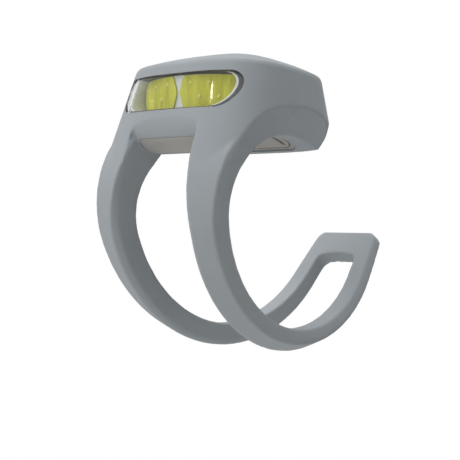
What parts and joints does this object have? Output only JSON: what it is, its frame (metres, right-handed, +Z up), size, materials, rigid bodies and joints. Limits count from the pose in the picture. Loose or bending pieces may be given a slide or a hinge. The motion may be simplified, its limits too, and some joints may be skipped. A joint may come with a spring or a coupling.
{
  "type": "bicycle headlight",
  "caption": "Small wraparound-lens headlight in a soft grey sleeve whose twin arms close into a tail loop that hooks round a handlebar",
  "frame": {"origin": "on the axis of the handlebar, in the light's plane of symmetry", "axes": "+X along the handlebar to the rider's left, -Y is the way the beam leaves, +Z up through the head of the light"},
  "size_m": [0.0356, 0.0534, 0.0496],
  "materials": {
    "silicone_grey": "matte",
    "white_plastic": "matte",
    "clear_plastic": "gloss",
    "black_rubber": "matte",
    "white_board": "matte",
    "phosphor": "satin",
    "led_die": "gloss",
    "grey_plastic": "matte",
    "steel": "satin",
    "cell_steel": "satin",
    "gold_contact": "satin",
    "circuit_board": "satin",
    "black_plastic": "matte",
    "copper_flex": "satin"
  },
  "bodies": {
    "head": {"silicone_body": "silicone_grey", "lens": "clear_plastic", "lens_gasket": "black_rubber", "led_board": "white_board", "led_phosphor": "phosphor", "led_dies": "led_die", "core_housing": "grey_plastic", "core_base": "grey_plastic", "base_screws": "steel", "coin_cell_upper": "cell_steel", "coin_cell_lower": "cell_steel", "contact_positive": "gold_contact", "circuit_board": "circuit_board", "controller_chip": "black_plastic", "driver_inductor": "black_plastic", "driver_resistors": "black_plastic", "tactile_switch": "black_plastic", "led_flex": "copper_flex"},
    "strap": {"strap_loop": "silicone_grey"},
    "button": {"power_button": "silicone_grey", "button_plunger": "white_plastic"},
    "stem": {"switch_stem": "white_plastic"},
    "door": {"battery_cover": "grey_plastic", "cover_seal": "black_rubber", "contact_negative": "gold_contact"}
  },
  "joints": [
    {"name": "strap_flex", "type": "hinge", "parent": "head", "child": "strap", "pos_m": [0, -0.01539, -0.00216], "axis": [1, 0, 0], "range_deg": [-40, 18], "stiffness_Nm_per_rad": 0.05},
    {"name": "power_button", "type": "slide", "parent": "head", "child": "button", "axis": [0, 0, -1], "range_m": [0, 0.0004], "stiffness_N_per_m": 400, "springref_m": -0.0003},
    {"name": "switch_stem", "type": "slide", "parent": "head", "child": "stem", "axis": [0, 0, -1], "range_m": [0, 0.0004]},
    {"name": "battery_door", "type": "slide", "parent": "head", "child": "door", "axis": [0, 0, -1], "range_m": [0, 0.012]}
  ],
  "couplings": [
    {"joint": "switch_stem", "follows": "power_button", "ratio": 1}
  ]
}
